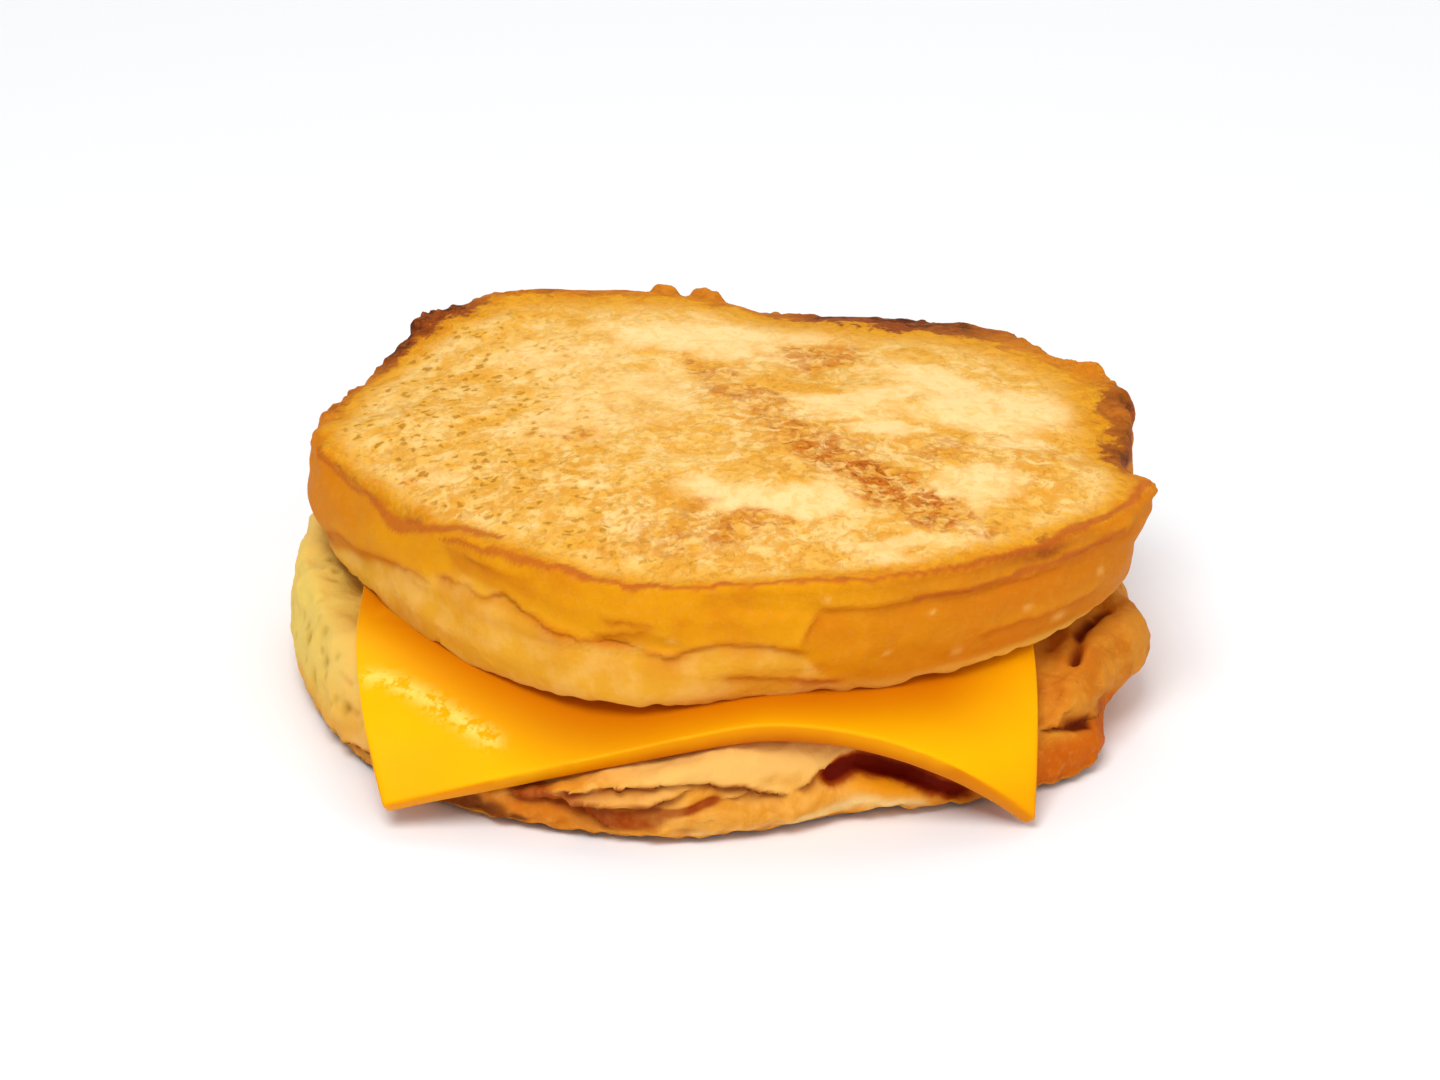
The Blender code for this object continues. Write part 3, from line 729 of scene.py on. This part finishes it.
cheese = {
    "thickness": 2.9,
    # painted shade: the cut edge takes its darker colours about this middle
    "crest": (7.0, 34.0),  # where the front edge stands highest, and how far that reaches, in mm
    "shadedReach": (-2.0, 11.0),  # mm beyond the foot of the bread above, which lies below this height:
    "footHeight": 22.0,
    "brightEnd": (28.0, 42.0),  # the right end lies clear of that shade
    "ripple": ((0.06, 14.0), (0.03, 5.0)),  # (height, size) of the unevenness of its faces
    # a paler streak near the left corner, a painted highlight broken into speckles: (path, half width)
    "streak": (((-46, -33, 15.3), (-44, -33.4, 15.2), (-41, -35, 14.7), (-38, -37, 14.1), (-36, -39, 13.6),
                (-34, -40, 12.9), (-32, -42, 12.3), (-30, -43, 11.8), (-29, -44, 11.3)), 1.2),
    # the cut edge's colours, at its ends and its middle, each at the top and lower down: darker lower down
    # and about the middle as painted shade, with a painted highlight along its top
    "colours": {
        "colour": (255, 186, 0), "deep": (252, 174, 0), "shade": (206, 108, 0), "endEdge": (255, 184, 0),
        "endShadeLow": (248, 160, 0), "edge": (228, 142, 0), "edgeShadeLow": (196, 98, 0),
        "edgeHighlight": (255, 196, 20), "glint": (255, 226, 112),
    },
    # noise in the colours: (size in mm, detail, roughness, distortion)
    "patterns": {
        "broad": (16.0, 2.0, 0.55, 0.0),
        "glintSpeckles": (2.0, 3.0, 0.7, 0.0),
        "cut": (6.0, 2.0, 0.55, 0.0),
        "gloss": (3.0, 2.0, 0.55, 0.0),
        "surface": (2.5, 3.0, 0.55, 0.0),
    },
    "relief": (0.05, 0.4),
    "shader": {"Specular IOR Level": 0.04, "Subsurface Weight": 0.12, "Subsurface Scale": 0.004,
               "Subsurface Radius": (1.0, 0.45, 0.02)},
}


def makeCheese():
    piece = copyOfNode("cheese", "cheeseSlab")
    points, facing = places(piece), normals(piece)
    points += facing * sum(by * cloud(points, size) for by, size in cheese["ripple"])[:, None]
    putPlaces(piece, points)

    # how near each point is to the bread above it, for the painted shade that the bread casts on the cheese
    crust = places(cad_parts["bread_top"])
    turn, reach = aroundPiece(crust, topSlice["middle"])
    foot = roundEdge(turn, reach, crust[:, 2] < cheese["footHeight"])
    ownTurn, ownReach = aroundPiece(points, topSlice["middle"])
    beyond = ownReach - np.interp(ownTurn, turn, foot, period=360.0)
    shaded = 1.0 - step(beyond, *cheese["shadedReach"])

    # how far down the cut edge each point is
    onTop = np.flatnonzero(facing[:, 2] > 0.8)
    top = KDTree(len(onTop))
    for i in onTop:
        top.insert(points[i], int(i))
    top.balance()
    depth = np.array([top.find(point)[2] for point in points])

    middle, reach = cheese["crest"]
    path, wide = cheese["streak"]
    paint(
        piece,
        shaded=shaded * (1.0 - 0.6 * step(points[:, 0], *cheese["brightEnd"])),
        depth=depth / cheese["thickness"],
        edge=1.0 - step(facing[:, 2], 0.3, 0.8),
        crest=bump(points[:, 0] - middle, reach),
        streak=bump(nearPath(points, path)[0], wide),
    )
    piece.data.materials.append(cheeseFinish())
    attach(piece, "root")
    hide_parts("cheese")
    print("cheese", len(piece.data.polygons))


def cheeseFinish():
    finish = Finish("yellow cheese", cheese)
    painted, pattern, mix = finish.painted, finish.pattern, finish.mix

    # the face: painted shade near the bread above, and a painted highlight streak near the left corner
    colour = mix(pattern("broad").part(0.4, 0.7) * 0.5, "colour", "deep")
    colour = mix(painted("shaded") * 0.92, colour, "shade")
    colour = mix(painted("streak") * pattern("glintSpeckles").part(0.42, 0.52) * 0.75, colour, "glint")

    # the cut edge: painted shade lower down and about its middle, and a painted highlight line along its top
    depth = painted("depth")
    lower = (depth + (pattern("cut") - 0.5) * 0.3).part(0.15, 0.95)
    edge = mix(painted("crest"), mix(lower, "endEdge", "endShadeLow"), mix(lower, "edge", "edgeShadeLow"))
    edge = mix((1.0 - depth.part(0.04, 0.22)) * 0.5, edge, "edgeHighlight")
    finish.feed("Base Color", mix(painted("edge"), colour, edge))
    finish.feed("Roughness", 0.28 + pattern("gloss") * 0.16)
    finish.relief(pattern("surface"))
    return finish.material


bottomSlice = {
    "middle": (0.0, 0.0),
    # folds in the crust: (path of angle and height, depth, lip)
    "folds": (
        (((245, 7.2), (247, 7.2), (252, 7.9), (257, 8.5), (263, 9.3), (269, 9.0), (274, 8.1), (277, 7.1),
          (282, 6.4)), 0.8, 0.7),
        (((247, 7.0), (250, 6.6), (254, 6.1), (257, 5.6), (260, 5.9), (263, 7.0), (268, 7.9)), 0.96, 0.7),
        (((238, 5.3), (244, 5.7), (249, 6.0), (251, 4.3), (253, 3.5), (257, 2.4)), 1.04, 0.7),
        (((269, 6.7), (273, 7.3), (278, 7.4)), 0.48, 0.5),
        (((281, 6.4), (284, 7.6), (285, 8.8), (286, 9.5), (289, 8.8)), 0.8, 0.6),
        (((258, 4.2), (265, 3.9), (272, 4.1)), 0.24, 0.2),
        (((319, 8.6), (321, 8.4), (323, 8.4), (325, 7.8), (328, 7.3), (334, 6.8)), 0.8, 0.6),
        (((322, 10.2), (325, 10.4), (327, 11.2)), 0.72, 0.4),
        (((205, 1.8), (210, 3.0), (218, 4.2)), 0.64, 0.4),
        (((20, 8), (45, 9), (75, 8)), 0.8, 0.6),
        (((100, 7), (125, 8.5), (155, 8)), 0.8, 0.6),
    ),
    "foldWidth": 1.1,
    "foldTint": 1.5,
    # the hollow under the cheese, pushed in and given painted shade: (path through space, depth, half width)
    "pocket": (((15, -46, 7.6), (17, -46, 8.6), (19, -45, 9.0), (20, -44, 8.3), (22, -43.4, 7.7),
                (25, -43, 6.6), (27, -43.6, 5.8), (29, -44, 4.8), (31, -43, 3.6),
                (33, -43, 2.4)), 1.5, 1.5),
    # the lit ledge below it: (path through space, half width)
    "glow": (((19, -46, 6.7), (21, -45, 5.9), (24, -45, 5.2), (27, -44, 4.6), (29, -44, 3.8),
              (32, -43, 2.8)), 1.9),
    # where the layers lie deepest in one another, pushed in and given painted shade: (path of angle and
    # height, half width)
    "deep": (
        (((238, 6.4), (242, 6.3), (246, 5.9), (249, 4.9), (253, 4.3), (257, 4.1), (264, 4.0)), 1.3),
        (((256, 4.2), (263, 5.1), (267, 6.5), (272, 7.4)), 0.6),
    ),
    "deepBy": 0.5,  # mm
    # grooves and ribs through space: (path, depth, half width)
    "grooves": (
        (((51, -16.5, 15.6), (50, -18, 15), (49, -20, 15.1), (49, -22, 14.3), (48, -26, 14.2)), 1.8, 1.0),
        (((46.4, -17, 14.2), (46, -18, 13.5), (46, -19, 12.9), (45, -22, 12.9)), 1.9, 1.2),
        (((52, -15, 15), (53, -14, 15.1)), 1.5, 0.9),
        (((48, -18, 14.7), (48, -21, 14.6), (47, -23, 13.4), (47, -25, 13.1)), -0.7, 0.6),
        (((42, -34, 8.6), (44, -33.4, 8.3), (46, -33.2, 8), (48, -32.4, 7.6),
          (50.5, -30.6, 7.2)), 1.5, 0.9),
        (((-50.4, -23.4, 10.8), (-49.2, -26, 10.3)), 0.25, 0.5),
        (((-49.8, -26.8, 7.2), (-47.8, -29.4, 7.6)), 0.3, 0.5),
    ),
    # round holes at the left; painted shade at the left end beside the cheese, under the top slice; and
    # darker spots under the cheese's left corner and at the right end: (place, radius)
    "pits": (((-55.8, -14, 11), 1.0), ((-54.8, -18, 6.9), 1.1), ((-55.8, -14, 8), 0.7),
             ((-52.8, -20, 10.5), 0.8), ((-55.8, -12, 11.8), 0.7), ((-58.8, -2, 13.3), 0.9),
             ((-49.8, -27, 7.1), 0.8), ((-50.8, -25, 7.5), 0.6), ((-58.8, -4, 9), 0.8),
             ((-53.3, -16, 13), 0.7), ((-57.8, -9, 12), 0.7), ((-57.8, -7, 4.5), 0.8)),
    "pitDepth": 0.6,
    "pores": (3.2, 0.9, 0.6, 0.35),  # spacing, radius, share of them, depth
    "oliveShade": (((-49.8, 2, 13.5), 5.0), ((-48.8, -6, 13), 4.6), ((-48.8, -14, 12.6), 4.0)),
    "darkUnderCheese": (((-35, -43, 2.1), 2.6), ((-32, -45, 2.2), 2.8), ((-29, -46.5, 2.0), 2.4),
                 ((-26, -47, 1.2), 1.8)),
    "darkSpots": (((53, -25, 6.5), 2.6), ((51, -28, 5), 2.4), ((56, -20, 8), 2.2), ((46, -36, 4.6), 1.6)),
    # the two ends, by angle: the left one's middle and half width, and the right one's arc
    "leftEnd": (185, 32),
    "paleLeft": (187, 27),
    "rightEnd": ((300, 318), (40, 70)),
    "lowLeft": ((205, 225), (246, 262)),  # the arc whose foot is orange
    # how far the foot's edge stands off the table, by angle
    "lifted": ((0, 0.3), (90, 0.3), (180, 0.3), (240, 0.3), (270, 0.4), (284, 0.7), (290, 1.3), (298, 1.1),
               (308, 0.6), (320, 0.3)),
    # the dry crumbs along it: (path of angle and height, half width)
    "crumbEdge": (((262, 1.2), (272, 1.3), (280, 1.6), (285, 2.4), (289, 3.2), (292, 3.9), (296, 3.2),
                   (300, 2.2), (304, 1.4)), 0.8),
    "colours": {
        "front": (238, 170, 72), "frontPale": (240, 184, 98), "frontTan": (222, 146, 40),
        "orange": (206, 112, 16), "left": (236, 202, 100), "leftLow": (230, 166, 56),
        "oliveShade": (170, 116, 16), "right": (212, 134, 36), "rightDeep": (196, 112, 22), "lump": (200, 98, 8),
        "poreShade": (166, 122, 20), "lit": (246, 192, 104), "shade": (178, 78, 4), "crease": (98, 20, 0),
        "deep": (150, 52, 2), "pocket": (116, 22, 0), "glow": (244, 156, 6), "dry": (242, 208, 138),
        "burnt": (118, 56, 12),
    },
    # noise in the colours: (size in mm, detail, roughness, distortion)
    "patterns": {
        "fine": (1.1, 3.0, 0.6, 0.0),
        "broad": (5.0, 4.0, 0.6, 0.5),
        "hollow": (2.6, 3.0, 0.6, 0.0),
    },
    "relief": (0.3, 0.6),
    "shader": {"Roughness": 0.66, **breadShader},
}


def makeBottomSlice():
    bread = Slice("bread_bottom", "toastBottom", bottomSlice)
    inSight = 1.0 - bread.down
    pocket, deep = shapeLayers(bread, inSight)
    holes = shapeSurface(bread, inSight)
    bread.store()
    paintBottom(bread, inSight, pocket, deep, holes)
    piece = bread.piece
    piece.data.materials.append(bottomFinish())
    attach(piece, "root")
    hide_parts("bread_bottom")
    print("bottom slice", len(piece.data.polygons))


def shapeLayers(bread, inSight):
    # the crust's folds, the hollow under the cheese, and the grooves at both ends
    spec = bottomSlice
    for path, depth, lip in spec["folds"]:
        bread.fold(path, depth, lip)
    pocket = bread.groove(*spec["pocket"])
    for path, depth, wide in spec["grooves"]:
        # painted shade along each groove
        dark = bread.groove(path, depth, wide) * min(1.0, max(0.0, depth))  # a rib stays light
        for name, value in (("crease", dark), ("shade", dark**0.5)):
            bread.folded[name] = np.maximum(bread.folded[name], value)
    deep = np.max([bread.band(path, wide) for path, wide in spec["deep"]], axis=0) * inSight
    bread.push(-spec["deepBy"] * deep, bread.outward)
    return pocket, deep


def shapeSurface(bread, inSight):
    # holes and lumps, rougher at the left end
    spec, turn = bottomSlice, bread.turn
    holes = spots(bread.points, spec["pits"])
    bread.push(-spec["pitDepth"] * holes, bread.normals)
    middle, half = spec["leftEnd"]
    leftEnd = bump(turn - middle, half)
    grounded = step(bread.height(), 0.4, 2.2)
    lumps = bread.lumps((0.4, 7.0), (0.2 + 0.1 * leftEnd, 2.4), (0.1, 1.2))
    bread.push(lumps * inSight * grounded, bread.normals)

    # the foot is crumbly, and its edge stands off the table
    crusty = step(bread.height(), 0.15, 0.8) * (1.0 - step(bread.height(), 2.0, 3.6)) * inSight
    bread.push((bread.lumps((0.6, 1.9, 2.6), (0.5, 4.2, 1.9)) - 0.45) * crusty, bread.outward)
    outer = step(bread.reach, 46.0, 50.0) * (1.0 - step(bread.height(), 0.6, 2.4))
    lifted = byAngle(turn, spec["lifted"]) * (1.0 + bread.lumps((0.5, 4.0, 3.3)))
    bread.push(np.maximum(lifted + bread.lumps((0.35, 1.7, 5.9)), 0.0) * outer, bread.upright)

    spacing, radius, chance, depth = spec["pores"]
    pores = pits(bread.points, spacing, radius, chance) * leftEnd * inSight
    bread.push(-depth * pores, bread.normals)
    return np.maximum(holes * 0.9, pores)


def paintBottom(bread, inSight, pocket, deep, holes):
    spec, points, turn, height = bottomSlice, bread.points, bread.turn, bread.height()
    middle, half = spec["paleLeft"]
    path, wide = spec["glow"]
    paint(
        bread.piece,
        faceDown=bread.down,
        pocket=pocket * 1.2,
        deep=deep,
        glow=bump(nearPath(points, path)[0], wide),
        holes=holes,
        height=height / paintedReach,
        leftEnd=bump(turn - middle, half),
        rightEnd=arc(turn, *spec["rightEnd"]),
        lowLeft=arc(turn, *spec["lowLeft"]) * (1.0 - step(height, 4.0, 6.5)),
        crumbEdge=bread.band(*spec["crumbEdge"]) * inSight,
        **{name: spots(points, spec[name]) for name in ("darkSpots", "oliveShade", "darkUnderCheese")},
        **bread.folded,
    )


def bottomFinish():
    finish = Finish("toast bottom", bottomSlice)
    painted, mix = finish.painted, finish.mix
    fine, broad = finish.pattern("fine"), finish.pattern("broad")
    height, right = painted("height") * paintedReach, painted("rightEnd")

    # the front and the two ends, each with its own colours, and painted shade at the left end beside the
    # cheese
    front = mix(broad.part(0.4, 0.62), "front", "frontTan")
    front = mix(height.part(8.0, 10.5), front, "frontPale")
    front = mix(painted("lowLeft") * 0.85, front, "orange")
    leftEnd = mix(height.part(2.5, 8.0), "leftLow", "left")
    leftEnd = mix(painted("oliveShade") * 0.8, leftEnd, "oliveShade")
    rightEnd = mix(broad.part(0.42, 0.66), "right", "rightDeep")
    rightEnd = mix(1.0 - height.part(5.5, 7.5), rightEnd, "lump")
    colour = mix(painted("leftEnd"), mix(right, front, rightEnd), leftEnd)

    # what lies over them, from the crumb's grain to the darker foot under the cheese: painted shade in the
    # pores, the creases, the hollows and under the folds, and painted light on the lit ledge and along the
    # folds' lips
    pocket = painted("pocket")
    hollow = pocket + (finish.pattern("hollow") - 0.5) * 0.7
    for strength, name in (
        (fine.part(0.5, 0.75) * 0.18, "frontPale"),
        (painted("holes") * 0.8, "poreShade"),
        (painted("glow") * 0.9, "glow"),
        (painted("darkSpots") * broad.part(0.4, 0.6) * 0.7, "shade"),
        (painted("lit") * (1.0 - right) * 0.6, "lit"),
        (painted("shade").part(0.15, 1.0) * 0.75, "shade"),
        (painted("crease").part(0.15, 0.9) * 0.9, "crease"),
        (painted("deep").part(0.0, 0.7) * (0.5 + broad * 0.7), "deep"),
        # painted shade in and round the hollow under the cheese
        (hollow.part(0.0, 0.5) * pocket.part(0.0, 0.2), "shade"),
        (hollow.part(0.3, 0.9), "pocket"),
        (painted("crumbEdge") * (0.45 + fine * 0.8), "dry"),
        (painted("darkUnderCheese").part(0.2, 0.7) * (0.6 + broad * 0.7), "burnt"),
    ):
        colour = mix(strength, colour, name)

    # the underside, and the burnt line round the foot
    colour = mix(painted("faceDown"), colour, mix(fine, "frontTan", "rightDeep"))
    aboveFoot = (height + (broad - 0.5) * 2.4 + (fine - 0.5) * 1.6).part(0.4, 1.1)
    colour = mix((1.0 - aboveFoot) * 0.9, colour, "burnt")
    finish.feed("Base Color", colour)
    finish.relief(fine + broad * 0.5 - painted("holes") * 0.5)
    return finish.material


stage = {
    "floor": 4.0,  # metres across
    "shader": {"Base Color": (0.95, 0.96, 0.98, 1.0), "Roughness": 0.9, "Specular IOR Level": 0.1},  # its own
    # the camera looks down by this many degrees, from this many metres, at this place in mm
    "elevation": 26.0,
    "distance": 0.56,
    "aim": (0.49, 2.427, 18.0),
    "lens": 100.0,
    "sky": 0.4,
    # (name, place in metres from the sandwich, size in metres, watts)
    "lamps": (
        ("key", (-0.16, -0.52, 0.9), 0.5, 6.9),
        ("fill", (0.6, -0.7, 0.5), 0.8, 2.1),
        ("back", (0.1, 0.6, 0.8), 0.9, 2.8),
    ),
}


def makeStage():
    bpy.ops.object.select_all(action="DESELECT")
    bpy.ops.mesh.primitive_plane_add(size=stage["floor"])
    floor = bpy.context.object
    floor.name = "floor"
    floor.data.materials.append(Finish("pale floor", stage).material)

    world = bpy.data.worlds.new("white room")
    world.use_nodes = True
    sky = world.node_tree.nodes["Background"]
    sky.inputs["Color"].default_value = (1.0, 1.0, 1.0, 1.0)
    sky.inputs["Strength"].default_value = stage["sky"]
    bpy.context.scene.world = world
    for name, place, size, watts in stage["lamps"]:
        bpy.ops.object.light_add(type="AREA", location=place)
        lamp = bpy.context.object
        lamp.name = name
        lamp.data.size = size
        lamp.data.energy = watts
        lamp.rotation_euler = (-Vector(place)).to_track_quat("-Z", "Y").to_euler()

    tilt = math.radians(stage["elevation"])
    camera = bpy.data.cameras.new("camera")
    camera.lens = stage["lens"]
    camera.sensor_width = 36.0
    camera.clip_start = 0.01
    holder = bpy.data.objects.new("camera", camera)
    bpy.context.scene.collection.objects.link(holder)
    away = Vector((0.0, -math.cos(tilt), math.sin(tilt)))
    holder.location = Vector(stage["aim"]) * mm + away * stage["distance"]
    holder.rotation_euler = (math.pi / 2 - tilt, 0.0, 0.0)
    bpy.context.scene.camera = holder
    bpy.context.scene.view_settings.view_transform = "Standard"
    print("stage")


makeTopSlice()
makeCheese()
makeBottomSlice()
makeStage()
